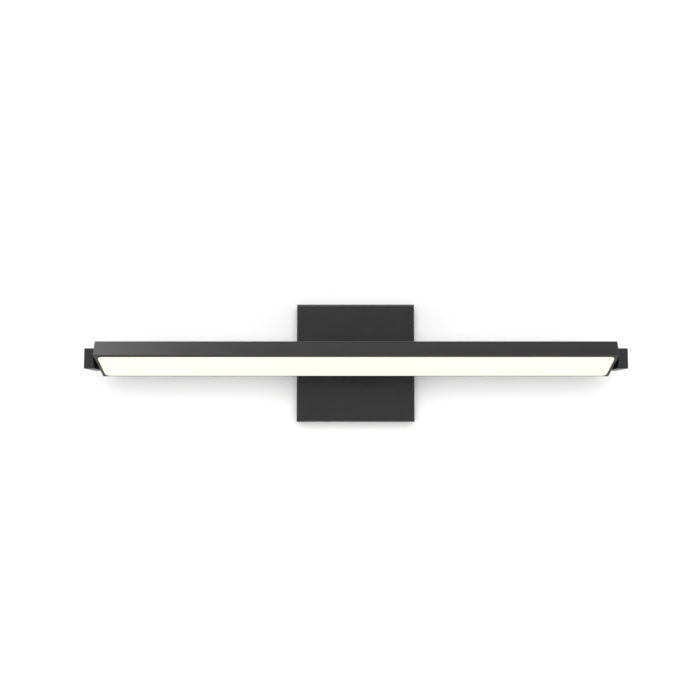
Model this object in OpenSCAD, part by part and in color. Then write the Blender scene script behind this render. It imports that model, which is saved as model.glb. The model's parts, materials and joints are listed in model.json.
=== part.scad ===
// Vanity light bar: a square wall canopy, a U-shaped frame and a tilting LED head.
// Millimetres. +X runs along the bar, +Y into the wall, +Z up.
// The origin is the centre of the canopy's back, on the wall.

/* [Canopy] */
// Side of the square canopy
canopy_side = 128; // [122:1:150]
// Depth of the canopy from the wall to its front face
canopy_depth = 25.4; // [25:0.1:32]
// Sheet thickness of the canopy
canopy_wall = 1.5; // [1.2:0.1:2]
// Bevel along the canopy's front edges
canopy_bevel = 2; // [1:0.1:3]

/* [Frame] */
// Width over both arms
overall_w = 552; // [480:1:760]
// Thickness of an arm along the bar
arm_t = 10; // [10:0.5:12]
// Height of the arms and of the rail
arm_h = 20.8; // [20:0.1:24]
// Length of an arm in front of the rail
arm_reach = 36; // [36:0.1:50]
// Depth of the rail, a rectangular tube
rail_t = 8; // [8:0.5:12]
// Wall of the rail's tube
rail_wall = 1.5; // [1.2:0.1:2]
// Length of the neck between canopy and rail
neck_l = 25.1; // [25:0.1:60]
// Width of the neck
neck_w = 30; // [28:1:50]
// Height of the neck
neck_h = 18; // [17:0.5:20]
// Eased edge of the arms, rail and neck
frame_ease = 0.5; // [0.2:0.1:1]

/* [Head] */
// Depth of the head's section, front to back
head_d = 46; // [44:0.5:47]
// Height of the head's section
head_h = 16.4; // [15.7:0.1:18]
// Eased edge of the head
head_ease = 0.5; // [0.2:0.1:1]
// Side wall of the housing
side_wall = 2; // [1.4:0.1:2.4]
// Face plate of the end caps
cap_plate = 2.5; // [2:0.1:3.5]
// Top plate of the housing, which spreads the heat
top_plate = 3; // [3:0.1:4]
// Gap between an arm and the head, which the friction disc fills
disc_gap = 2.5; // [2.5:0.1:4]

/* [Tilt] */
// Angle of the light from straight down towards the room, as stored
rest_tilt = 24.5; // [0:0.1:60]
// Travel from there towards the wall
tilt_back = 80; // [30:1:90]
// Travel from there up through the room side
tilt_up = 220; // [90:1:220]

/* [Diffuser] */
// Shadow groove round the diffuser
groove = 1; // [0.8:0.1:1.2]
// Corner radius of the diffuser
diffuser_r = 5; // [4:0.5:6]
// How far the diffuser stands out of the head
diffuser_proud = 1; // [0:0.1:1.5]

/* [Light source] */
// LEDs in each of the two rows
led_count = 40; // [20:1:40]
// Spacing of the LEDs
led_pitch = 12.4; // [8:0.1:12.4]

/* [Hidden] */
$fn = 64;

// Slack round a fastener or a plain fit inside one body
slack = 0.05;
// How far a cutter passes the face it opens
over = 1;

// Colours
black_coat = [0.16, 0.16, 0.165];
black_nylon = [0.06, 0.06, 0.06];
zinc = [0.75, 0.76, 0.78];
opal = [1, 0.99, 0.93];

// Planes along Y, from the wall outwards
canopy_front_y = -canopy_depth;
canopy_inner_y = canopy_front_y + canopy_wall;
rail_back_y = canopy_front_y - neck_l;
rail_front_y = rail_back_y - rail_t;
arm_front_y = rail_front_y - arm_reach;
axis_y = arm_front_y + arm_h / 2;

// Planes along X, for the right-hand side
arm_outer_x = overall_w / 2;
arm_inner_x = arm_outer_x - arm_t;
arm_mid_x = arm_outer_x - arm_t / 2;
head_end_x = arm_inner_x - disc_gap;
cap_inner_x = head_end_x - cap_plate;
plug_inner_x = head_end_x - 9.4;

// Head section, in the head's own upright frame with the tilt axis at its centre
inner_half_d = head_d / 2 - side_wall;
head_bottom_z = -head_h / 2;
ceiling_z = head_h / 2 - top_plate;
ledge_z = head_bottom_z + 1.85;
ledge_t = 1.2;
ledge_half = 18.6;
port_y = 19;
port_z = ceiling_z - 2.25;
port_r = 2.4;
port_hole_r = 1.45;

// Screws
m3_r = 1.5;
m4_r = 2;

// Wall strap
strap_h = 18;
strap_t = 2;
strap_half = canopy_side / 2 - canopy_wall - 0.7;
strap_tab_l = 16;
side_screw_y = -10;
box_slot_r = 2.4;
box_slot_l = 7;
large_box_pitch = 88.9;
small_box_pitch = 69.85;
ground_x = 20;

// Neck wireway and screws
wireway_r = 5;
neck_screw_x = 11.2;
neck_thread_l = 11;
grommet_hole_r = 6;
grommet_flange_r = 7;
grommet_flange_t = 1.2;

// Driver in the lower half of the canopy
driver_z = -39;
driver_w = 86;
driver_h = 30;
driver_case_t = 15.8;
driver_base_t = 1.2;
driver_base_w = 104;
driver_stud_x = 47.5;
driver_wall = 1.5;
driver_case_y = canopy_inner_y + driver_base_t;

// Wire connectors in the upper half of the canopy
connector_x = [-40, -22, -4];
connector_y = -13;
connector_z = 20;
connector_l = 22;

// Arm joints and pivots
arm_screw_z = 6;
arm_screw_thread = 12;
pivot_r = 4;
pivot_bore_r = 1.9;
pivot_fit = 0.05;
pivot_web = 4;
bush_r = 5.2;
pocket_r = 8.5;
pivot_cap_t = 1;
pocket_x = arm_inner_x + pivot_web;
washer_x = pocket_x + 0.1;
washer_t = 0.6;
nut_x = washer_x + washer_t + slack;
nut_t = 2;
nut_flats_r = 6.5;
disc_r = arm_h / 2;
disc_t = disc_gap - 0.2;
stop_orbit = 7.2;
stop_r = 1.2;
stop_l = 1.6;
stop_groove_r = 1.5;
stop_groove_depth = 1.6;

// Leads
lead_r = 0.9;
mains_lead_r = 1.2;
lead_bore_r = 1.3;
lead_x = pocket_x + 3.6;
lead_sides = 8;

// Parts inside the head
board_l = 504;
board_w = 32;
board_t = 1.6;
board_z = ceiling_z - board_t;
board_screw_x = [-220, -110, 0, 110, 220];
led_size = [3.5, 2.8, 0.8];
led_row_y = 8;
reflector_l = 491;
reflector_t = 0.5;
reflector_sheet = 0.3;
reflector_half = board_w / 2 + 0.2;
diffuser_l = 2 * (cap_inner_x - groove);
diffuser_d = 2 * (inner_half_d - groove);
skirt_l = 500;

// ---- Shared shapes ----

module mirrored_x() {
    children();
    mirror([1, 0, 0]) children();
}

// Two plain fasteners or holes at +x and -x
module pair_x(x) {
    for (side = [-1, 1]) translate([side * x, 0, 0]) children();
}

module rod_x(r, x0, x1) {
    translate([x0, 0, 0]) rotate([0, 90, 0]) cylinder(r = r, h = x1 - x0);
}

module rod_y(r, y0, y1) {
    translate([0, y1, 0]) rotate([90, 0, 0]) cylinder(r = r, h = y1 - y0);
}

module ring_x(outer_r, inner_r, x0, x1) {
    difference() {
        rod_x(outer_r, x0, x1);
        rod_x(inner_r, x0 - over, x1 + over);
    }
}

// Block between two corners
module block(low, high) {
    translate(low) cube(high - low);
}

// Profile of a rectangle centred on the origin with its corners cut by e
module eased_profile(w, h, e) {
    polygon([
        [-w / 2 + e, -h / 2], [w / 2 - e, -h / 2], [w / 2, -h / 2 + e], [w / 2, h / 2 - e],
        [w / 2 - e, h / 2], [-w / 2 + e, h / 2], [-w / 2, h / 2 - e], [-w / 2, -h / 2 + e]
    ]);
}

// Profile in Y and Z, drawn out along X
module along_x(x0, x1) {
    translate([x0, 0, 0]) rotate([90, 0, 90]) linear_extrude(x1 - x0) children();
}

// Block with every edge eased, between two corners
module eased_block(low, high, e) {
    size = high - low;
    translate((low + high) / 2) intersection() {
        linear_extrude(size.z, center = true) eased_profile(size.x, size.y, e);
        rotate([90, 0, 0]) linear_extrude(size.y, center = true) eased_profile(size.x, size.z, e);
        rotate([90, 0, 90]) linear_extrude(size.x, center = true) eased_profile(size.y, size.z, e);
    }
}

module rounded_rect(w, h, r) {
    square([w - 2 * r, h], center = true);
    square([w, h - 2 * r], center = true);
    for (sx = [-1, 1], sy = [-1, 1]) {
        translate([sx * (w / 2 - r), sy * (h / 2 - r)]) circle(r);
    }
}

// Shell shape of the canopy: square, from the wall plane forwards, bevelled in front
module canopy_solid(side, depth, bevel) {
    half = side / 2;
    module profile() {
        polygon([
            [-half, 0], [-half, bevel - depth], [bevel - half, -depth],
            [half - bevel, -depth], [half, bevel - depth], [half, 0]
        ]);
    }
    intersection() {
        linear_extrude(side, center = true) profile();
        rotate([0, 90, 0]) linear_extrude(side, center = true) profile();
    }
}

// Pan-head screw: the head stands on the plane z = 0, the shank goes down
module pan_screw(shank_r, shank_l) {
    head_r = 1.9 * shank_r;
    head_t = 1.2 * shank_r;
    recess = [2 * shank_r, 0.45 * shank_r, head_t];
    difference() {
        union() {
            cylinder(r = head_r, h = 0.6 * head_t);
            translate([0, 0, 0.6 * head_t]) cylinder(r1 = head_r, r2 = 0.75 * head_r, h = 0.4 * head_t);
            translate([0, 0, -shank_l]) cylinder(r = shank_r, h = shank_l);
        }
        for (turn = [0, 90]) {
            rotate([0, 0, turn]) translate([0, 0, head_t]) cube(recess, center = true);
        }
    }
}

// Countersunk screw: the head's top lies in the plane z = 0, the shank goes down
module flat_screw(shank_r, total_l) {
    head_r = 1.9 * shank_r;
    head_t = head_r - shank_r;
    recess = [2 * shank_r, 0.45 * shank_r, head_t];
    difference() {
        union() {
            translate([0, 0, -head_t]) cylinder(r1 = shank_r, r2 = head_r, h = head_t);
            translate([0, 0, -total_l]) cylinder(r = shank_r, h = total_l);
        }
        for (turn = [0, 90]) rotate([0, 0, turn]) cube(recess, center = true);
    }
}

// Cutter for a countersunk screw in a plate whose face is the plane z = 0
module flat_screw_hole(shank_r, depth) {
    head_r = 1.9 * shank_r + slack;
    translate([0, 0, shank_r - head_r]) cylinder(r1 = shank_r, r2 = head_r, h = head_r - shank_r);
    translate([0, 0, -slack]) cylinder(r = head_r, h = over);
    translate([0, 0, -depth]) cylinder(r = shank_r + slack, h = depth);
}

// ---- Leads: a tube swept along a smoothed route ----

function unit(v) = v / norm(v);

// One round of corner cutting; the two ends stay
function cut_corners(p) = concat(
    [p[0]],
    [for (i = [0 : len(p) - 2], t = [0.25, 0.75]) p[i] * (1 - t) + p[i + 1] * t],
    [p[len(p) - 1]]
);

function tangents(p) = [
    for (i = [0 : len(p) - 1]) unit(p[min(i + 1, len(p) - 1)] - p[max(i - 1, 0)])
];

// Carries the ring's normal n from tangent a to tangent b without twist
function carry(n, a, b) = n - (b * n) / (1 + a * b) * (a + b);

function normals(t, n, i = 0) = i == len(t) ? [] :
    let (m = i == 0 ? n : carry(n, t[i - 1], t[i])) concat([m], normals(t, m, i + 1));

module lead(route, r, first_normal) {
    p = cut_corners(cut_corners(route));
    t = tangents(p);
    n = normals(t, first_normal);
    rings = len(p);
    points = [
        for (i = [0 : rings - 1], k = [0 : lead_sides - 1])
            let (a = 360 * k / lead_sides)
            p[i] + r * (cos(a) * n[i] + sin(a) * cross(t[i], n[i]))
    ];
    walls = [
        for (i = [0 : rings - 2], k = [0 : lead_sides - 1])
            let (a = i * lead_sides + k, b = i * lead_sides + (k + 1) % lead_sides)
            each [[a, a + lead_sides, b], [b, a + lead_sides, b + lead_sides]]
    ];
    last = (rings - 1) * lead_sides;
    ends = [
        [for (k = [0 : lead_sides - 1]) k],
        [for (k = [lead_sides - 1 : -1 : 0]) last + k]
    ];
    polyhedron(points, concat(walls, ends));
}

// ---- Canopy and wall fixing ----

module strap_slots(pitch) {
    pair_x(pitch / 2) strap_slot();
}

// Slot through the strap, drawn as two round ends and the block between them
module strap_slot() {
    run = box_slot_l / 2 - box_slot_r;
    pair_x(run) rod_y(box_slot_r, -strap_t - over, over);
    block([-run, -strap_t - over, -box_slot_r], [run, over, box_slot_r]);
}

module mounting_strap() {
    color(zinc) difference() {
        union() {
            block([-strap_half, -strap_t, -strap_h / 2], [strap_half, 0, strap_h / 2]);
            mirrored_x() block(
                [strap_half - strap_t, -strap_tab_l, -strap_h / 2], [strap_half, 0, strap_h / 2]
            );
        }
        strap_slots(large_box_pitch);
        strap_slots(small_box_pitch);
        translate([ground_x, 0, 0]) rod_y(m4_r + slack, -strap_t - over, over);
        mirrored_x() translate([0, side_screw_y, 0])
            rod_x(m4_r + slack, strap_half - strap_t - over, strap_half + over);
    }
}

module ground_terminal() {
    barrel_l = 7;
    color([0.8, 0.75, 0.5]) translate([ground_x, -strap_t, 0]) difference() {
        union() {
            rod_y(4.2, -0.8, 0);
            block([-1.5, -0.8, 0], [1.5, 0, 5]);
            translate([0, -1.6, 4]) cylinder(r = 1.6, h = barrel_l);
        }
        rod_y(m4_r + slack, -over - 1, over);
        translate([0, -1.6, 5]) cylinder(r = lead_r + slack, h = barrel_l);
    }
}

module ground_screw() {
    color([0.2, 0.5, 0.25]) translate([ground_x, -strap_t - 0.8, 0]) rotate([90, 0, 0])
        pan_screw(m4_r, 2.6);
}

module canopy() {
    color(black_coat) difference() {
        canopy_solid(canopy_side, canopy_depth, canopy_bevel);
        translate([0, over, 0]) canopy_solid(
            canopy_side - 2 * canopy_wall, canopy_depth - canopy_wall + over, canopy_bevel
        );
        rod_y(grommet_hole_r, canopy_front_y - over, canopy_inner_y + over);
        pair_x(neck_screw_x) rod_y(m4_r + slack, canopy_front_y - over, canopy_inner_y + over);
        mirrored_x() translate([0, side_screw_y, 0])
            rod_x(m4_r + 0.2, canopy_side / 2 - canopy_wall - over, canopy_side / 2 + over);
    }
}

module canopy_screws() {
    color(black_coat) mirrored_x() translate([canopy_side / 2, side_screw_y, 0])
        rotate([0, 90, 0]) pan_screw(m4_r, 7);
}

module canopy_grommet() {
    lip_y = canopy_inner_y + grommet_flange_t;
    color(black_nylon) difference() {
        union() {
            rod_y(grommet_hole_r, canopy_front_y, canopy_inner_y);
            rod_y(grommet_flange_r, canopy_inner_y, lip_y);
            rod_y(grommet_flange_r, canopy_front_y - grommet_flange_t, canopy_front_y);
        }
        rod_y(3.5, canopy_front_y - 2 * grommet_flange_t, lip_y + over);
    }
}

// ---- Driver ----

module driver_studs() {
    color(zinc) translate([0, 0, driver_z]) pair_x(driver_stud_x) {
        rod_y(m3_r, canopy_inner_y, canopy_inner_y + 7);
    }
}

module driver_nuts() {
    nut_y = canopy_inner_y + driver_base_t;
    color(zinc) translate([0, 0, driver_z]) pair_x(driver_stud_x) difference() {
        translate([0, nut_y + 2.4, 0]) rotate([90, 0, 0]) cylinder(r = 3.2, h = 2.4, $fn = 6);
        rod_y(m3_r + slack, nut_y - over, nut_y + 2.4 + over);
    }
}

module driver_base() {
    half_w = driver_base_w / 2;
    color([0.85, 0.86, 0.87]) translate([0, 0, driver_z]) difference() {
        block([-half_w, canopy_inner_y, -driver_h / 2], [half_w, driver_case_y, driver_h / 2]);
        pair_x(driver_stud_x) rod_y(m3_r + 0.2, canopy_inner_y - over, driver_case_y + over);
    }
}

module driver_case() {
    half_w = driver_w / 2;
    half_h = driver_h / 2;
    back_y = driver_case_y + driver_case_t;
    low = [driver_wall - half_w, driver_case_y - over, driver_wall - half_h];
    high = [half_w - driver_wall, back_y - driver_wall, half_h - driver_wall];
    color([0.9, 0.9, 0.88]) translate([0, 0, driver_z]) difference() {
        eased_block([-half_w, driver_case_y, -half_h], [half_w, back_y, half_h], 1);
        block(low, high);
        for (z = [-5, 5]) translate([0, -14, z])
            rod_x(mains_lead_r + slack, -half_w - over, driver_wall - half_w + over);
        translate([0, -14, 0]) rod_x(lead_r + slack, half_w - driver_wall - over, half_w + over);
    }
}

module driver_board() {
    color([0.15, 0.4, 0.25]) translate([0, driver_case_y + 0.4, driver_z])
        block([-39, 0, -12], [39, 1.6, 12]);
}

// Transformer, filter coil, capacitors and output terminals on the driver's board
module driver_components() {
    board_y = driver_case_y + 2;
    color([0.85, 0.75, 0.3]) translate([0, board_y, driver_z]) {
        block([-8, 0, -9], [12, 10.5, 9]);
        block([-33, 0, -2], [-24, 9, 10]);
        translate([-18, 9, 3]) rotate([90, 0, 0]) cylinder(r = 4.5, h = 9);
        translate([24, 10, -4]) rotate([90, 0, 0]) cylinder(r = 6, h = 10);
        block([33, 0, -4], [38, 4, 10]);
    }
}

// Screw-on connectors that join the leads to the house wiring, open at the bottom
module wire_connectors() {
    color([0.8, 0.35, 0.1]) for (x = connector_x) translate([x, connector_y, connector_z])
        difference() {
            union() {
                cylinder(r = 7, h = 5);
                translate([0, 0, 5]) cylinder(r1 = 6.4, r2 = 4.4, h = connector_l - 5);
            }
            translate([0, 0, -over]) cylinder(r = 3.6, h = 15 + over);
        }
}

module line_lead() {
    route = [
        [-41, -14, -44], [-48, -14, -44], [-55, -14, -42], [-56, -14, -20], [-55, -14, -2],
        [-46, -13, 8], [-40, connector_y, 14], [-40, connector_y, 32]
    ];
    color([0.05, 0.05, 0.05]) lead(route, mains_lead_r, [0, 1, 0]);
}

module neutral_lead() {
    route = [
        [-41, -14, -34], [-47, -14, -34], [-51, -14, -30], [-51, -14, -12], [-44, -15, 0],
        [-28, -14, 6], [-22, connector_y, 14], [-22, connector_y, 32]
    ];
    color([0.92, 0.92, 0.9]) lead(route, mains_lead_r, [0, 1, 0]);
}

module ground_lead() {
    route = [
        [ground_x, -3.6, 6], [ground_x, -3.6, 14], [16, -5, 17], [4, -10, 12],
        [-4, -12, 10], [-4, connector_y, 16], [-4, connector_y, 32]
    ];
    color([0.2, 0.55, 0.25]) lead(route, lead_r, [1, 0, 0]);
}

// Low-voltage lead from the driver through neck, rail and right arm into the pivot
module output_lead() {
    rail_mid_y = rail_front_y + rail_t / 2;
    route = [
        [40, -14, driver_z], [48, -14, driver_z], [54, -14, driver_z + 6], [52, -14, -12],
        [30, -16, -8], [6, -17, -4], [0, -20, 0], [0, canopy_front_y - 10, 0],
        [0, rail_mid_y + 6, 0], [2, rail_mid_y, -4], [24, rail_mid_y, -5],
        [arm_inner_x - 24, rail_mid_y, -5], [arm_inner_x - 6, rail_mid_y, 0],
        [arm_inner_x + 5, rail_mid_y, 0], [lead_x, rail_mid_y, 0],
        [lead_x, rail_front_y + 1.5, 0], [lead_x, rail_front_y - 4, 0],
        [lead_x, axis_y + 9.5, 0], [lead_x + 0.4, axis_y + 5, 0],
        [lead_x + 0.45, axis_y + 1.2, 0], [lead_x + 0.3, axis_y - 0.3, 0],
        [lead_x - 1, axis_y, 0], [pocket_x, axis_y, 0], [cap_inner_x, axis_y, 0]
    ];
    color([0.7, 0.1, 0.1]) lead(route, lead_r, [0, 1, 0]);
}

// ---- Neck, rail and arms ----

module neck() {
    counterbore_y = canopy_front_y - grommet_flange_t - 0.3;
    color(black_coat) difference() {
        eased_block(
            [-neck_w / 2, rail_back_y, -neck_h / 2], [neck_w / 2, canopy_front_y, neck_h / 2],
            frame_ease
        );
        rod_y(wireway_r, rail_back_y - over, canopy_front_y + over);
        rod_y(grommet_flange_r + 0.3, counterbore_y, canopy_front_y + over);
        pair_x(neck_screw_x) {
            rod_y(m4_r + slack, rail_back_y - over, rail_back_y + neck_thread_l);
            rod_y(m4_r + slack, canopy_front_y - neck_thread_l, canopy_front_y + over);
        }
    }
}

// Countersunk screws through the rail into the neck, from the front
module neck_front_screws() {
    color(black_coat) translate([0, rail_front_y, 0]) pair_x(neck_screw_x) {
        rotate([90, 0, 0]) flat_screw(m4_r, rail_t + neck_thread_l - 1);
    }
}

// Pan-head screws through the canopy into the neck, from inside the canopy
module neck_rear_screws() {
    color(zinc) translate([0, canopy_inner_y, 0]) pair_x(neck_screw_x) {
        rotate([-90, 0, 0]) pan_screw(m4_r, canopy_wall + neck_thread_l - 1);
    }
}

module rail() {
    half_h = arm_h / 2;
    color(black_coat) difference() {
        eased_block(
            [-arm_outer_x, rail_front_y, -half_h], [arm_outer_x, rail_back_y, half_h], frame_ease
        );
        block(
            [-arm_outer_x - over, rail_front_y + rail_wall, rail_wall - half_h],
            [arm_outer_x + over, rail_back_y - rail_wall, half_h - rail_wall]
        );
        rod_y(wireway_r, rail_back_y - rail_wall - over, rail_back_y + over);
        translate([0, rail_front_y, 0]) pair_x(neck_screw_x) {
            rotate([90, 0, 0]) flat_screw_hole(m4_r, rail_t + over);
        }
        for (z = [-arm_screw_z, arm_screw_z]) translate([0, rail_back_y, z])
            pair_x(arm_mid_x) rotate([-90, 0, 0]) flat_screw_hole(m4_r, rail_t + over);
        translate([lead_x, 0, 0])
            rod_y(lead_bore_r, rail_front_y - over, rail_front_y + rail_wall + over);
    }
}

module rail_end_plugs() {
    clear = rail_wall + slack;
    half_h = arm_h / 2;
    color(black_nylon) mirrored_x() block(
        [arm_outer_x - 1, rail_front_y + clear, clear - half_h],
        [arm_outer_x, rail_back_y - clear, half_h - clear]
    );
}

module arm_screws() {
    color(black_coat) for (z = [-arm_screw_z, arm_screw_z]) translate([0, rail_back_y, z])
        pair_x(arm_mid_x) rotate([-90, 0, 0]) flat_screw(m4_r, rail_t + arm_screw_thread - 1);
}

// Right-hand arm, without the bore for the lead
module plain_arm() {
    half_h = arm_h / 2;
    difference() {
        eased_block(
            [arm_inner_x, arm_front_y, -half_h], [arm_outer_x, rail_front_y, half_h], frame_ease
        );
        translate([0, axis_y, 0]) {
            rod_x(bush_r, arm_inner_x - over, pocket_x + over);
            rod_x(pocket_r, pocket_x, arm_outer_x + over);
        }
        for (z = [-arm_screw_z, arm_screw_z]) translate([arm_mid_x, 0, z])
            rod_y(m4_r + slack, rail_front_y - arm_screw_thread, rail_front_y + over);
    }
}

module left_arm() {
    color(black_coat) mirror([1, 0, 0]) plain_arm();
}

module right_arm() {
    color(black_coat) difference() {
        plain_arm();
        translate([lead_x, 0, 0]) rod_y(lead_bore_r, axis_y, rail_front_y + over);
    }
}

// ---- Pivots ----

module pivot_bush() {
    color([0.85, 0.83, 0.75]) translate([0, axis_y, 0])
        ring_x(bush_r - slack, pivot_r + pivot_fit, arm_inner_x, pocket_x);
}

module left_pivot_bush() {
    mirror([1, 0, 0]) pivot_bush();
}

module right_pivot_bush() {
    pivot_bush();
}

// Disc fixed to the arm. A stop on the head runs in its arc groove.
module friction_disc() {
    face_x = arm_inner_x - disc_t;
    end_slack = asin(stop_r / stop_orbit) + 1;
    groove_start = 90 - rest_tilt - tilt_up - end_slack;
    groove_turn = tilt_up + tilt_back + 2 * end_slack;
    color(black_nylon) translate([0, axis_y, 0]) difference() {
        ring_x(disc_r, pivot_r + 0.3, face_x, arm_inner_x);
        translate([face_x, 0, 0]) rotate([90, 0, 90]) rotate([0, 0, groove_start])
            rotate_extrude(angle = groove_turn) translate([stop_orbit - stop_groove_r, -over])
                square([2 * stop_groove_r, stop_groove_depth + over]);
    }
}

module left_friction_disc() {
    mirror([1, 0, 0]) friction_disc();
}

module right_friction_disc() {
    friction_disc();
}

// Cover over the pivot's nut, with a skirt that leaves room for the lead
module pivot_cap() {
    cap_x = arm_outer_x - pivot_cap_t;
    skirt_x = cap_x - 1.5;
    color(black_coat) translate([0, axis_y, 0]) difference() {
        rod_x(pocket_r - slack, skirt_x, arm_outer_x);
        rod_x(pocket_r - 0.8, skirt_x - over, cap_x);
        block([skirt_x - over, 0, -3], [cap_x, pocket_r + over, 3]);
    }
}

module left_pivot_cap() {
    mirror([1, 0, 0]) pivot_cap();
}

module right_pivot_cap() {
    pivot_cap();
}

// ---- Head ----

// The head's parts are drawn upright, then tilted about the pivots
module in_head() {
    translate([0, axis_y, 0]) rotate([-rest_tilt, 0, 0]) children();
}

module head_envelope(x0, x1) {
    intersection() {
        eased_block(
            [-head_end_x, -head_d / 2, -head_h / 2], [head_end_x, head_d / 2, head_h / 2], head_ease
        );
        block([x0, -head_d, -head_h], [x1, head_d, head_h]);
    }
}

module housing_ribs() {
    for (side = [-1, 1]) {
        translate([side * port_y, port_z]) circle(port_r);
        translate([side * (ledge_half + inner_half_d) / 2, ledge_z + ledge_t / 2])
            square([inner_half_d - ledge_half + 2 * slack, ledge_t], center = true);
    }
}

module housing() {
    color(black_coat) in_head() difference() {
        union() {
            difference() {
                head_envelope(-cap_inner_x, cap_inner_x);
                block(
                    [-head_end_x, -inner_half_d, head_bottom_z - over],
                    [head_end_x, inner_half_d, ceiling_z]
                );
            }
            along_x(-cap_inner_x, cap_inner_x) housing_ribs();
        }
        for (side = [-1, 1]) translate([0, side * port_y, port_z])
            rod_x(port_hole_r, -head_end_x, head_end_x);
        for (x = board_screw_x) translate([x, 0, ceiling_z - over])
            cylinder(r = m3_r + slack, h = 2.2 + over);
    }
}

// Right-hand end cap: face plate, plug inside the housing and webs that round the opening
module end_cap() {
    plug_half = ledge_half - 0.2;
    color(black_coat) in_head() difference() {
        union() {
            head_envelope(cap_inner_x, head_end_x);
            difference() {
                block(
                    [plug_inner_x, -plug_half, ledge_z],
                    [cap_inner_x, plug_half, ceiling_z - slack]
                );
                for (side = [-1, 1]) translate([0, side * port_y, port_z])
                    rod_x(port_r + 0.1, plug_inner_x - over, cap_inner_x);
            }
            difference() {
                block(
                    [cap_inner_x - diffuser_r - groove, slack - inner_half_d, head_bottom_z],
                    [cap_inner_x, inner_half_d - slack, ledge_z]
                );
                translate([0, 0, head_bottom_z - over]) linear_extrude(head_h)
                    rounded_rect(2 * cap_inner_x, 2 * inner_half_d, diffuser_r + groove);
            }
            translate([0, 0, stop_orbit]) rod_x(stop_r, head_end_x - over, head_end_x + stop_l);
        }
        rod_x(pivot_r + slack, plug_inner_x - over, head_end_x + over);
        for (side = [-1, 1]) translate([head_end_x, side * port_y, port_z])
            rotate([0, 90, 0]) flat_screw_hole(port_hole_r, cap_plate + over);
    }
}

module left_end_cap() {
    mirror([1, 0, 0]) end_cap();
}

module right_end_cap() {
    end_cap();
}

module end_cap_screws() {
    color(black_coat) in_head() mirrored_x() for (side = [-1, 1])
        translate([head_end_x, side * port_y, port_z])
            rotate([0, 90, 0]) flat_screw(port_hole_r - slack, 10);
}

// Hollow threaded stud that carries one end of the head
module pivot_tube() {
    color(zinc) translate([0, axis_y, 0])
        ring_x(pivot_r, pivot_bore_r, plug_inner_x + 0.5, nut_x + nut_t);
}

module left_pivot_tube() {
    mirror([1, 0, 0]) pivot_tube();
}

module right_pivot_tube() {
    pivot_tube();
}

module spring_washers() {
    color(zinc) mirrored_x() translate([0, axis_y, 0])
        ring_x(7, pivot_r + slack, washer_x, washer_x + washer_t);
}

module pivot_nuts() {
    corner_r = nut_flats_r / cos(30);
    color(zinc) in_head() mirrored_x() difference() {
        translate([nut_x, 0, 0]) rotate([0, 90, 0]) cylinder(r = corner_r, h = nut_t, $fn = 6);
        rod_x(pivot_r + slack, nut_x - over, nut_x + nut_t + over);
    }
}

module led_board() {
    color([0.93, 0.94, 0.93]) in_head() difference() {
        block([-board_l / 2, -board_w / 2, board_z], [board_l / 2, board_w / 2, ceiling_z]);
        for (x = board_screw_x) translate([x, 0, board_z - over])
            cylinder(r = m3_r + 0.1, h = board_t + 2 * over);
    }
}

// Places its children at every LED
module at_leds() {
    for (i = [0 : led_count - 1], side = [-1, 1])
        translate([(i - (led_count - 1) / 2) * led_pitch, side * led_row_y]) children();
}

module led_chips() {
    color([1, 0.9, 0.55]) in_head() translate([0, 0, board_z - led_size.z]) at_leds()
        linear_extrude(led_size.z) square([led_size.x, led_size.y], center = true);
}

module board_screws() {
    color(zinc) in_head() for (x = board_screw_x) translate([x, 0, board_z])
        rotate([180, 0, 0]) pan_screw(m3_r, board_t + 2);
}

module board_connector() {
    color([0.95, 0.95, 0.9]) in_head() difference() {
        block([246, 8, board_z - 4], [250.5, 14, board_z]);
        translate([0, 11, board_z - 2]) rod_x(lead_r + slack, 248, 251.5);
    }
}

// Lead from the right-hand pivot to the board
module head_lead() {
    route = [
        [cap_inner_x - 0.4, 0, 0], [plug_inner_x, 0, 0], [252, 1, 0], [251, 4, -1],
        [252.6, 8, -1], [252.8, 11, -0.5], [252.2, 11, board_z - 2], [248.5, 11, board_z - 2]
    ];
    color([0.7, 0.1, 0.1]) in_head() lead(route, lead_r, [0, 1, 0]);
}

// White sheet over the board, with a wall along each side
module reflector() {
    half_l = reflector_l / 2;
    window = [led_size.x + 0.6, led_size.y + 0.6];
    color([0.97, 0.97, 0.96]) in_head() {
        translate([0, 0, board_z - reflector_sheet]) linear_extrude(reflector_sheet) difference() {
            square([reflector_l, 2 * reflector_half], center = true);
            at_leds() square(window, center = true);
            for (x = board_screw_x) translate([x, 0]) circle(3.2);
        }
        for (side = [-1, 1]) translate([0, side * (reflector_half - reflector_t / 2), 0])
            block([-half_l, -reflector_t / 2, -5.5], [half_l, reflector_t / 2, board_z]);
    }
}

// One long snap-in skirt of the diffuser, at the rear
module diffuser_skirt() {
    outer = ledge_half - 0.2;
    hook_z = ledge_z + ledge_t + 0.1;
    along_x(-skirt_l / 2, skirt_l / 2) polygon([
        [outer - 1.2, ledge_z - slack], [outer, ledge_z - slack], [outer, hook_z],
        [outer + 0.9, hook_z], [outer + 0.9, hook_z + 0.5], [outer, hook_z + 2],
        [outer - 1.2, hook_z + 2]
    ]);
}

module diffuser() {
    face_z = head_bottom_z - diffuser_proud;
    color(opal) in_head() {
        translate([0, 0, face_z]) linear_extrude(ledge_z - face_z)
            rounded_rect(diffuser_l, diffuser_d, diffuser_r);
        diffuser_skirt();
        mirror([0, 1, 0]) diffuser_skirt();
    }
}

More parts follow.
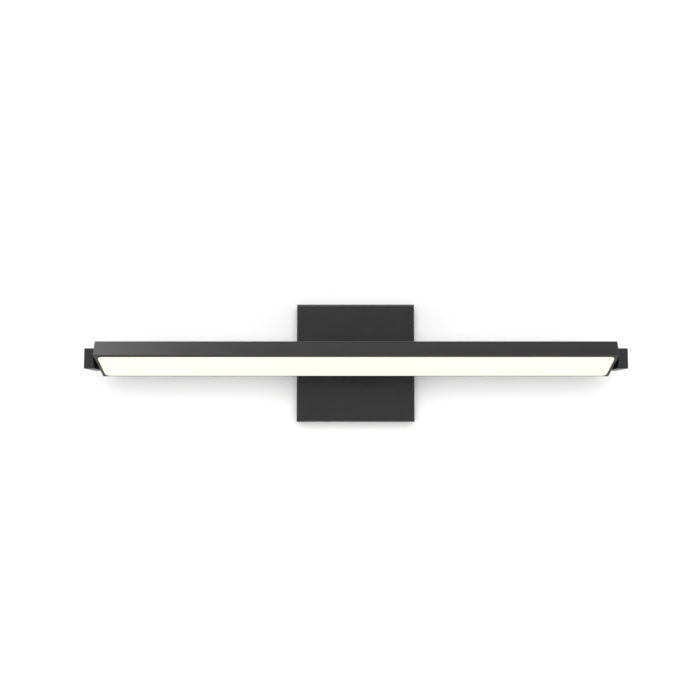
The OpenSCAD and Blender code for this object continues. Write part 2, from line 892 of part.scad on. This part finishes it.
mounting_strap();
ground_screw();
ground_terminal();
ground_lead();
canopy();
canopy_screws();
canopy_grommet();
driver_studs();
driver_nuts();
driver_base();
driver_case();
driver_board();
driver_components();
line_lead();
neutral_lead();
wire_connectors();
output_lead();
neck();
neck_front_screws();
neck_rear_screws();
rail();
rail_end_plugs();
left_arm();
right_arm();
arm_screws();
left_pivot_bush();
right_pivot_bush();
left_friction_disc();
right_friction_disc();
left_pivot_cap();
right_pivot_cap();
housing();
left_end_cap();
right_end_cap();
end_cap_screws();
left_pivot_tube();
right_pivot_tube();
spring_washers();
pivot_nuts();
led_board();
led_chips();
board_screws();
board_connector();
head_lead();
reflector();
diffuser();
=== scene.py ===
"""Looks of a vanity light bar: camera, studio, materials and fine shape around the CAD frame."""

import json
import math

import bmesh
import bpy
from mathutils import Matrix, Vector


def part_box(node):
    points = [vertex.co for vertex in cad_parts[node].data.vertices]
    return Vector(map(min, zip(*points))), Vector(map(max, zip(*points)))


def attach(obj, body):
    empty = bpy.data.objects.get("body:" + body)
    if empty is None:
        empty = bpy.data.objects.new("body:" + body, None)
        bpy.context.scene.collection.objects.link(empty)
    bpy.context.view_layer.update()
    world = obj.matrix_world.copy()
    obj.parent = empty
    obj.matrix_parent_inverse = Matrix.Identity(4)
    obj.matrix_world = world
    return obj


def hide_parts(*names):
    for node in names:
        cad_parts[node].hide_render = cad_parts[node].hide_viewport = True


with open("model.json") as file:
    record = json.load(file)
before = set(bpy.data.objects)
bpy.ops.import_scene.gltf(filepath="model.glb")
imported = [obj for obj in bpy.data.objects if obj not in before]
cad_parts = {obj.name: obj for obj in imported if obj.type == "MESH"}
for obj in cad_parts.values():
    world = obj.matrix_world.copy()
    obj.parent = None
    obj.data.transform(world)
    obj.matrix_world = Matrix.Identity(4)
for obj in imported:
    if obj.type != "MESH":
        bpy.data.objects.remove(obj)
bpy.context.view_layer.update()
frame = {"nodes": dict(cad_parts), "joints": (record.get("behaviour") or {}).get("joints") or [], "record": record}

scene = bpy.context.scene
nodes = frame["nodes"]
MM = 0.001
tilt_axis = Vector(frame["joints"][0]["pos_m"])
head_low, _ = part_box("housing")

# ---- Camera: level with the bottom of the canopy, tipped up a little ----

CAMERA_DISTANCE = 930 * MM  # from the head's front edge
CAMERA_DROP = 64.9 * MM  # below the tilt axis
CAMERA_SIDE = -6.1 * MM
CAMERA_PITCH = math.radians(4.45)
LENS = 47.97


def make_camera():
    data = bpy.data.cameras.new("camera")
    data.lens = LENS
    data.sensor_width = 36
    data.clip_start = 0.01
    data.clip_end = 50
    camera = bpy.data.objects.new("camera", data)
    camera.location = (CAMERA_SIDE, head_low.y - CAMERA_DISTANCE, tilt_axis.z - CAMERA_DROP)
    camera.rotation_euler = (math.pi / 2 + CAMERA_PITCH, 0, 0)
    scene.collection.objects.link(camera)
    scene.camera = camera


make_camera()

# ---- Materials ----


def new_material(name):
    """A material with its node tree, its Principled shader and the object's own coordinates."""
    material = bpy.data.materials.new(name)
    material.use_nodes = True
    tree = material.node_tree
    shader = next(n for n in tree.nodes if n.type == "BSDF_PRINCIPLED")
    coords = tree.nodes.new("ShaderNodeTexCoord")
    return material, tree, shader, coords.outputs["Object"]


def noise(tree, coords, scale, detail=3, roughness=0.55):
    node = tree.nodes.new("ShaderNodeTexNoise")
    node.inputs["Scale"].default_value = scale
    node.inputs["Detail"].default_value = detail
    node.inputs["Roughness"].default_value = roughness
    tree.links.new(coords, node.inputs["Vector"])
    return node.outputs["Fac"]


def ramp(tree, value, low, high, start=0.3, end=0.7):
    """Maps a value of start to end onto the range from low to high, as colours or as greys."""
    node = tree.nodes.new("ShaderNodeValToRGB")
    node.color_ramp.elements[0].position = start
    node.color_ramp.elements[1].position = end
    for element, colour in zip(node.color_ramp.elements, (low, high)):
        grey = not hasattr(colour, "__len__")
        element.color = (colour,) * 3 + (1,) if grey else (*colour, 1)
    tree.links.new(value, node.inputs["Fac"])
    return node.outputs["Color"]


def bump(tree, shader, height, strength, distance):
    node = tree.nodes.new("ShaderNodeBump")
    node.inputs["Strength"].default_value = strength
    node.inputs["Distance"].default_value = distance
    tree.links.new(height, node.inputs["Height"])
    tree.links.new(node.outputs["Normal"], shader.inputs["Normal"])


def surface(
    name, dark, light, rough, metallic=0, grain=900, grain_depth=0.01, patch=40, gloss=0.5
):
    """A finish whose colour and roughness vary in soft patches, over a fine grain.

    dark and light are the colour's two ends, rough is the roughness's two ends, grain is the
    grain's scale per metre, grain_depth its depth in millimetres and gloss the specular level.
    """
    material, tree, shader, coords = new_material(name)
    patches = noise(tree, coords, patch)
    tree.links.new(ramp(tree, patches, dark, light), shader.inputs["Base Color"])
    fine = noise(tree, coords, grain, detail=2)
    tree.links.new(ramp(tree, fine, *rough), shader.inputs["Roughness"])
    shader.inputs["Metallic"].default_value = metallic
    shader.inputs["Specular IOR Level"].default_value = gloss
    bump(tree, shader, fine, 0.6, grain_depth * MM)
    return material


# Thicknesses in the head, and heights in its own frame, from the tilt axis
TOP_PLATE = 3 * MM
LED_BOARD = 1.6 * MM
HEAD_TOP_Z = 8.2 * MM
HEAD_BOTTOM_Z = -HEAD_TOP_Z
FACE_Z = HEAD_BOTTOM_Z - 1 * MM  # the diffuser's face, which stands proud
LEDGE_Z = HEAD_BOTTOM_Z + 1.85 * MM  # the ledge that the diffuser's plate meets
LED_FACE_Z = HEAD_TOP_Z - TOP_PLATE - LED_BOARD


def lit_opal():
    """Opal acrylic lit from behind: even over the face, dimmer down its edges, where its base colour is also
    darkened as painted shade in the groove.
    """
    material, tree, shader, coords = new_material("lit_opal")
    cloud = noise(tree, coords, 25)
    tree.links.new(
        ramp(tree, cloud, (1.0, 1.0, 0.77), (1.0, 1.0, 0.79)), shader.inputs["Emission Color"]
    )
    axes = tree.nodes.new("ShaderNodeSeparateXYZ")
    tree.links.new(coords, axes.inputs["Vector"])

    def along_edge(at_face, in_groove):
        fall = tree.nodes.new("ShaderNodeMapRange")
        fall.interpolation_type = "SMOOTHSTEP"
        fall.inputs["From Min"].default_value = FACE_Z + 0.35 * MM
        fall.inputs["From Max"].default_value = FACE_Z + 0.95 * MM
        fall.inputs["To Min"].default_value = at_face
        fall.inputs["To Max"].default_value = in_groove
        tree.links.new(axes.outputs["Z"], fall.inputs["Value"])
        return fall.outputs["Result"]

    tree.links.new(along_edge(0.56, 0.0), shader.inputs["Emission Strength"])
    # Base colour darkens from the face down the edge into the groove: painted shade for the shadowed groove round
    # the diffuser.
    groove_painted_shade = ramp(tree, along_edge(1, 0), (0.06, 0.06, 0.055), (0.45, 0.45, 0.40), 0, 1)
    tree.links.new(groove_painted_shade, shader.inputs["Base Color"])
    shader.inputs["Roughness"].default_value = 0.45
    return material


MATERIALS = {
    "black_coat": surface(
        "black_coat", (0.017, 0.017, 0.0172), (0.020, 0.020, 0.0202), (0.36, 0.44),
        grain=1500, grain_depth=0.006, gloss=0.36,
    ),
    "black_screw": surface(
        "black_screw", (0.02, 0.02, 0.02), (0.035, 0.035, 0.035), (0.3, 0.45), metallic=0.6,
    ),
    "zinc_steel": surface(
        "zinc_steel", (0.56, 0.57, 0.59), (0.66, 0.67, 0.7), (0.3, 0.4), metallic=1,
        grain=700, grain_depth=0.002, patch=180,
    ),
    "spring_steel": surface(
        "spring_steel", (0.4, 0.4, 0.41), (0.5, 0.5, 0.51), (0.2, 0.35), metallic=1,
    ),
    "green_screw": surface(
        "green_screw", (0.04, 0.24, 0.08), (0.07, 0.33, 0.12), (0.25, 0.4), metallic=0.7,
    ),
    "tinned_brass": surface(
        "tinned_brass", (0.62, 0.57, 0.42), (0.75, 0.7, 0.55), (0.25, 0.4), metallic=1,
    ),
    "black_rubber": surface(
        "black_rubber", (0.014, 0.014, 0.014), (0.02, 0.02, 0.02), (0.65, 0.8), grain=1200,
    ),
    # Base colour near black and almost no gloss, darker than real nylon: painted shade for the shadowed recess
    # between the arm and the head.
    "black_nylon": surface(
        "black_nylon", (0.002, 0.002, 0.002), (0.004, 0.004, 0.004), (0.6, 0.75), grain=1800,
        gloss=0.03,
    ),
    "bush_nylon": surface(
        "bush_nylon", (0.72, 0.7, 0.62), (0.8, 0.78, 0.7), (0.4, 0.5),
    ),
    "driver_plate": surface(
        "driver_plate", (0.7, 0.71, 0.72), (0.8, 0.81, 0.82), (0.3, 0.42), metallic=1,
    ),
    "driver_plastic": surface(
        "driver_plastic", (0.66, 0.66, 0.64), (0.72, 0.72, 0.7), (0.45, 0.6),
        grain=2200, grain_depth=0.02,
    ),
    "circuit_board": surface(
        "circuit_board", (0.012, 0.12, 0.045), (0.02, 0.17, 0.065), (0.22, 0.32),
    ),
    "components": surface(
        "components", (0.45, 0.33, 0.06), (0.6, 0.45, 0.1), (0.3, 0.45),
    ),
    "white_board": surface(
        "white_board", (0.82, 0.83, 0.82), (0.87, 0.88, 0.87), (0.25, 0.35),
    ),
    "white_plastic": surface(
        "white_plastic", (0.85, 0.85, 0.83), (0.9, 0.9, 0.88), (0.45, 0.6),
    ),
    "orange_plastic": surface(
        "orange_plastic", (0.68, 0.19, 0.025), (0.78, 0.25, 0.04), (0.28, 0.4),
    ),
    "black_wire": surface(
        "black_wire", (0.015, 0.015, 0.015), (0.025, 0.025, 0.025), (0.35, 0.45),
    ),
    "white_wire": surface(
        "white_wire", (0.74, 0.74, 0.71), (0.82, 0.82, 0.79), (0.35, 0.45),
    ),
    "green_wire": surface(
        "green_wire", (0.03, 0.26, 0.07), (0.05, 0.33, 0.1), (0.35, 0.45),
    ),
    "red_wire": surface(
        "red_wire", (0.4, 0.02, 0.02), (0.5, 0.035, 0.035), (0.35, 0.45),
    ),
    "led_phosphor": surface(
        "led_phosphor", (0.9, 0.7, 0.18), (0.95, 0.78, 0.25), (0.2, 0.3),
    ),
    "opal_diffuser": lit_opal(),
}

SLOT_OF = {s["node"]: s["material_slot"] for s in frame["record"]["subparts"]}

for name, node in nodes.items():
    node.data.materials.clear()
    node.data.materials.append(MATERIALS[SLOT_OF[name]])

# ---- Rounded edges and round leads on the CAD parts ----


WELD_GAP = 0.0005 * MM


def weld_points(node):
    node.modifiers.new("weld", "WELD").merge_threshold = WELD_GAP


def join_triangles(node):
    weld_points(node)
    flat = node.modifiers.new("flat", "DECIMATE")
    flat.decimate_type = "DISSOLVE"
    flat.angle_limit = math.radians(0.5)


def round_edges(node, width, segments=3):
    """Joins the node's loose triangles into faces and rounds its edges."""
    join_triangles(node)
    bevel = node.modifiers.new("bevel", "BEVEL")
    bevel.width = width
    bevel.segments = segments
    bevel.limit_method = "ANGLE"
    bevel.angle_limit = math.radians(30)
    bevel.harden_normals = True
    node.modifiers.new("normals", "WEIGHTED_NORMAL").keep_sharp = True


# Edge radius in millimetres, and the nodes that have it
ROUNDED = {
    0.25: (
        "canopy", "housing", "left_end_cap", "right_end_cap", "left_arm", "right_arm", "rail", "neck",
    ),
    0.2: (
        "left_pivot_cap", "right_pivot_cap", "left_friction_disc", "right_friction_disc",
        "mounting_strap",
    ),
    0.12: ("driver_base", "driver_nuts", "pivot_nuts", "canopy_grommet", "rail_end_plugs"),
}
for width, names in ROUNDED.items():
    for name in names:
        round_edges(nodes[name], width * MM)
round_edges(nodes["driver_case"], 0.5 * MM, segments=4)

for name in ("line_lead", "neutral_lead", "ground_lead", "output_lead", "head_lead"):
    weld_points(nodes[name])
    smooth = nodes[name].modifiers.new("smooth", "SUBSURF")
    smooth.levels = smooth.render_levels = 2

# ---- Pieces with finer shape than the CAD ----

HEAD_TILT = math.radians(24.5)
in_head = Matrix.Translation(tilt_axis) @ Matrix.Rotation(-HEAD_TILT, 4, "X")


def add_piece(name, mesh_maker, body, stands_for, materials, place=None):
    """Makes a piece from a bmesh, in its place on a body, and hides the CAD node it stands for."""
    shape = bmesh.new()
    mesh_maker(shape)
    bmesh.ops.recalc_face_normals(shape, faces=shape.faces)
    mesh = bpy.data.meshes.new(name)
    shape.to_mesh(mesh)
    shape.free()
    for slot in materials:
        mesh.materials.append(MATERIALS[slot])
    piece = bpy.data.objects.new(name, mesh)
    if place is not None:
        piece.matrix_world = place
    scene.collection.objects.link(piece)
    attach(piece, body)
    if stands_for:
        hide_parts(stands_for)


def add_rings(shape, rings, material=0, smooth=True):
    """Skins a stack of closed rings, each a list of points, and closes both ends."""
    made = [[shape.verts.new(p) for p in ring] for ring in rings]
    count = len(made[0])
    for low, high in zip(made, made[1:]):
        for i in range(count):
            j = (i + 1) % count
            face = shape.faces.new((low[i], low[j], high[j], high[i]))
            face.smooth = smooth
            face.material_index = material
    for end in (made[0], made[-1]):
        shape.faces.new(end).material_index = material


def rounded_rectangle(length, depth, radius, z, steps=10):
    """Points of a rounded rectangle in a plane of constant z."""
    points = []
    for quarter in range(4):
        sx = 1 if quarter in (0, 3) else -1
        sy = 1 if quarter in (0, 1) else -1
        cx, cy = sx * (length / 2 - radius), sy * (depth / 2 - radius)
        for step in range(steps + 1):
            angle = math.pi / 2 * (quarter + step / steps)
            points.append((cx + radius * math.cos(angle), cy + radius * math.sin(angle), z))
    return points


DIFFUSER_DEPTH = 40 * MM
DIFFUSER_CORNER = 5 * MM
DIFFUSER_EDGE = 0.95 * MM
SKIRT_OUTER = 18.4 * MM
SKIRT_LENGTH = 500 * MM


def make_lens(shape):
    """Diffuser plate with a rounded rim round its face, and its two snap-in skirts."""
    low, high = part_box("diffuser")
    length = high.x - low.x
    rings = [rounded_rectangle(length, DIFFUSER_DEPTH, DIFFUSER_CORNER, LEDGE_Z)]
    steps = 6
    for step in range(steps + 1):
        angle = math.pi / 2 * step / steps
        inset = DIFFUSER_EDGE * (1 - math.cos(angle))
        z = FACE_Z + DIFFUSER_EDGE * (1 - math.sin(angle))
        rings.append(rounded_rectangle(
            length - 2 * inset, DIFFUSER_DEPTH - 2 * inset, DIFFUSER_CORNER - inset, z
        ))
    add_rings(shape, rings)
    # Distance out from the skirt's outer face, and height over the ledge
    profile = [(-1.2, -0.05), (0, -0.05), (0, 1.3), (0.9, 1.3), (0.9, 1.8), (0, 3.3), (-1.2, 3.3)]
    for side in (-1, 1):
        section = [(side * (SKIRT_OUTER + y * MM), LEDGE_Z + z * MM) for y, z in profile]
        ends = [[(x, y, z) for y, z in section] for x in (-SKIRT_LENGTH / 2, SKIRT_LENGTH / 2)]
        add_rings(shape, ends, smooth=False)


add_piece("lens", make_lens, "head", "diffuser", ["opal_diffuser"], in_head)

CHIP_SIZE = (3.5 * MM, 2.8 * MM, 0.8 * MM)
CHIP_CORNER = 0.3 * MM
CHIP_ROW = 8 * MM  # from the head's middle to each of the two rows
CHIPS_IN_ROW = 40


def make_leds(shape):
    """White LED packages with a round window of phosphor in each."""
    length, width, height = CHIP_SIZE
    low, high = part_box("led_chips")
    pitch = (high.x - low.x - length) / (CHIPS_IN_ROW - 1)
    # The body's insets and the window's radii, each with its share of the height
    body = [(0, 0), (0, 0.62), (0.12 * MM, 0.92)]
    window = [(1.1 * MM, 0.9), (1.1 * MM, 0.95), (0.8 * MM, 0.99), (0.3 * MM, 1.0)]
    angles = [math.pi * k / 10 for k in range(20)]
    for i in range(CHIPS_IN_ROW):
        for side in (-1, 1):
            centre = Vector((low.x + length / 2 + i * pitch, side * CHIP_ROW, LED_FACE_Z))
            add_rings(shape, [
                [Vector(p) + centre for p in rounded_rectangle(
                    length - 2 * inset, width - 2 * inset, CHIP_CORNER - inset / 2,
                    -part * height, steps=2,
                )]
                for inset, part in body
            ], material=1, smooth=False)
            add_rings(shape, [
                [centre + Vector((r * math.cos(a), r * math.sin(a), -part * height)) for a in angles]
                for r, part in window
            ])


add_piece("led_packages", make_leds, "head", "led_chips", ["led_phosphor", "white_plastic"], in_head)


def make_wire_connectors(shape):
    """Ribbed screw-on connectors, with a smooth skirt and a bore from below."""
    low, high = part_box("wire_connectors")
    outer = (high.y - low.y) / 2
    y = (high.y + low.y) / 2
    first = low.x + outer
    pitch = (high.x - low.x - 2 * outer) / 2
    stretch = (high.z - low.z) / 22
    # Radius, height and depth of the ribs
    profile = [
        (3.6, 14.8, 0), (3.6, 0.4, 0), (3.9, 0, 0), (6.6, 0, 0), (6.95, 0.4, 0), (6.95, 3.6, 0),
        (6.6, 4.6, 0), (6.2, 5.2, 0.3), (6.0, 7, 0.55), (5.3, 14, 0.5), (4.6, 20.5, 0.35),
        (4.2, 21.4, 0.15), (3.4, 21.95, 0), (1.2, 22, 0),
    ]
    steps, ribs = 96, 16
    for i in range(3):
        centre = Vector((first + i * pitch, y, low.z))
        rings = []
        for radius, z, rib in profile:
            ring = []
            for k in range(steps):
                angle = 2 * math.pi * k / steps
                r = (radius - rib * (0.5 - 0.5 * math.cos(ribs * angle))) * MM
                along = Vector((r * math.cos(angle), r * math.sin(angle), z * stretch))
                ring.append(centre + along)
            rings.append(ring)
        add_rings(shape, rings)


add_piece("twist_connectors", make_wire_connectors, "frame", "wire_connectors", ["orange_plastic"])


def make_driver_parts(shape):
    """Transformer, filter coil, two capacitors and the output terminals, on the driver's board."""
    board_low, board_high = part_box("driver_board")
    board = Vector((0, board_high.y, (board_low.z + board_high.z) / 2))
    winding, black, metal, white = range(4)

    def stack(x, z, profile, material, smooth=False):
        """A body that rises from the board; profile holds its width, depth, corner and height."""
        add_rings(shape, [
            [
                board + Vector((x * MM + px, height * MM, z * MM + pz))
                for px, pz, _ in rounded_rectangle(width * MM, depth * MM, corner * MM, 0)
            ]
            for width, depth, corner, height in profile
        ], material, smooth)

    def block(x, z, width, depth, bottom, top, material, corner=0.6):
        """A block with eased edges, from one height over the board to another."""
        ease = 0.3
        stack(x, z, [
            (width - ease, depth - ease, corner, bottom), (width, depth, corner, bottom + ease / 2),
            (width, depth, corner, top - ease / 2), (width - ease, depth - ease, corner, top),
        ], material)

    def capacitor(x, z, radius, height):
        """A can in a sleeve with a crimp near its foot; the sleeve's lip holds a metal lid."""
        sleeve = [
            (-0.4, 0), (0, 0.3), (0, 1.2), (-0.4, 1.6), (0, 2.0), (0, height - 0.5),
            (-0.1, height - 0.15), (-0.5, height), (-0.8, height), (-0.9, height - 0.3),
        ]
        stack(x, z, [
            (2 * (radius + d), 2 * (radius + d), radius + d - 0.01, h) for d, h in sleeve
        ], black)
        lid = 2 * (radius - 1)
        block(x, z, lid, lid, height - 0.3, height - 0.05, metal, corner=lid / 2 - 0.2)

    # Transformer: bobbin, winding, and the ferrite core round it
    block(2, 0, 20, 18, 0, 1.2, black)
    block(2, 0, 12, 18, 1.2, 9.4, winding, corner=2.5)
    for x in (-6, 10):
        block(x, 0, 4, 14, 1.2, 9.4, black)
    block(2, 0, 20, 14, 9.4, 10.5, black)
    # Filter coil: enamelled wire between two flanges
    coil_x, coil_height, coil_r, coil_l = -28.5, 4.5, 3.9, 10
    for z in (-1.5, 9.5):
        block(coil_x, z, 9, 1, 0, 9, black, corner=0.3)
    turns, rings_in_turn, steps, groove = 14, 4, 24, 0.35
    centre = board + Vector((coil_x, coil_height, -1)) * MM
    wound = []
    for k in range(turns * rings_in_turn + 1):
        r = coil_r - groove * (0.5 + 0.5 * math.cos(2 * math.pi * k / rings_in_turn))
        z = coil_l * k / (turns * rings_in_turn)
        angles = [2 * math.pi * i / steps for i in range(steps)]
        wound.append([centre + Vector((r * math.cos(a), r * math.sin(a), z)) * MM for a in angles])
    add_rings(shape, wound, winding)
    capacitor(-18, 3, 4.5, 9)
    capacitor(24, -4, 6, 10)
    # Output terminals: a housing with a lever for each lead
    block(35.5, 3, 5, 14, 0, 3, white)
    for z in (-0.5, 6.5):
        block(35.5, z, 3.6, 4.5, 3, 4, winding, corner=0.8)


add_piece(
    "driver_parts", make_driver_parts, "frame", "driver_components",
    ["components", "black_rubber", "driver_plate", "white_plastic"],
)


LABEL_SIZE = (58 * MM, 20 * MM, 0.12 * MM)
LABEL_CORNER = 1.5 * MM


def make_driver_label(shape):
    """Blank silver label on the driver's case."""
    low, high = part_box("driver_case")
    x, z = (low.x + high.x) / 2, (low.z + high.z) / 2
    length, width, thickness = LABEL_SIZE
    add_rings(shape, [
        [
            Vector((x + px, high.y + height, z + pz))
            for px, pz, _ in rounded_rectangle(length, width, LABEL_CORNER, 0)
        ]
        for height in (0, thickness)
    ], smooth=False)


add_piece("driver_label", make_driver_label, "frame", None, ["driver_plate"])

# ---- Studio: white wall seen from the front only, pale floor, soft lights ----

STAGE_SIZE = 8.0
WALL_GAP = 0.2 * MM
FLOOR_DROP = 1.1
BOX_HOLE = 116 * MM  # in the wall behind the canopy, for the outlet box


def stage_plane(name, location, rotation, material, hole=0.0):
    """A square sheet, with a square hole in its middle if hole is given."""
    mesh = bpy.data.meshes.new(name)
    rings = [
        [(-half, -half, 0), (half, -half, 0), (half, half, 0), (-half, half, 0)]
        for half in (STAGE_SIZE / 2, hole / 2)
    ]
    if hole:
        sides = [(i, (i + 1) % 4, 4 + (i + 1) % 4, 4 + i) for i in range(4)]
        mesh.from_pydata(rings[0] + rings[1], [], sides)
    else:
        mesh.from_pydata(rings[0], [], [(0, 1, 2, 3)])
    mesh.materials.append(material)
    plane = bpy.data.objects.new(name, mesh)
    plane.location = location
    plane.rotation_euler = rotation
    scene.collection.objects.link(plane)
    return plane


def wall_paint():
    """White paint on the room side; nothing on the other side, so that the back can be seen."""
    material = bpy.data.materials.new("wall_paint")
    material.use_nodes = True
    tree = material.node_tree
    shader = next(n for n in tree.nodes if n.type == "BSDF_PRINCIPLED")
    shader.inputs["Base Color"].default_value = (0.9, 0.9, 0.9, 1)
    shader.inputs["Roughness"].default_value = 1
    shader.inputs["Specular IOR Level"].default_value = 0
    output = next(n for n in tree.nodes if n.type == "OUTPUT_MATERIAL")
    geometry = tree.nodes.new("ShaderNodeNewGeometry")
    clear = tree.nodes.new("ShaderNodeBsdfTransparent")
    mix = tree.nodes.new("ShaderNodeMixShader")
    tree.links.new(geometry.outputs["Backfacing"], mix.inputs["Fac"])
    tree.links.new(shader.outputs["BSDF"], mix.inputs[1])
    tree.links.new(clear.outputs["BSDF"], mix.inputs[2])
    tree.links.new(mix.outputs["Shader"], output.inputs["Surface"])
    return material


def area_light(name, location, target, size, energy):
    data = bpy.data.lights.new(name, "AREA")
    data.shape = "RECTANGLE"
    data.size, data.size_y = size
    data.energy = energy
    light = bpy.data.objects.new(name, data)
    light.location = location
    light.rotation_euler = (Vector(target) - Vector(location)).to_track_quat("-Z", "Y").to_euler()
    scene.collection.objects.link(light)
    return light


def make_studio():
    world = bpy.data.worlds.new("studio")
    scene.world = world
    world.use_nodes = True
    world.node_tree.nodes["Background"].inputs["Color"].default_value = (1, 1, 1, 1)
    world.node_tree.nodes["Background"].inputs["Strength"].default_value = 0.6
    stage_plane("wall", (0, WALL_GAP, 0), (math.pi / 2, 0, 0), wall_paint(), BOX_HOLE)
    floor_material = surface(
        "floor", (0.8, 0.8, 0.79), (0.82, 0.82, 0.81), (0.8, 0.9), grain=100, patch=3
    )
    stage_plane("floor", (0, 0, -FLOOR_DROP), (0, 0, 0), floor_material)
    # A wide soft box in front, for the short shadow round the fixture
    front = area_light("front", (0, -3, 0.3), (0, 0, 0), (1.8, 1.8), 62)
    front.visible_glossy = False
    # Two more that only gloss the coat: over the head's left end, and straight above
    side = area_light("side", (-0.9, -0.85, 0.95), (-0.3, -0.1, 0), (0.5, 0.5), 14)
    side.visible_diffuse = False
    top = area_light("top", (0, -0.1, 1.3), (0, -0.05, 0), (1.6, 0.6), 16)
    top.visible_diffuse = False
    # Behind the wall, for views of the open back
    area_light("rear", (0.3, 1.2, 0.5), (0, 0, 0), (0.8, 0.8), 9)
    scene.view_settings.view_transform = "Standard"


make_studio()
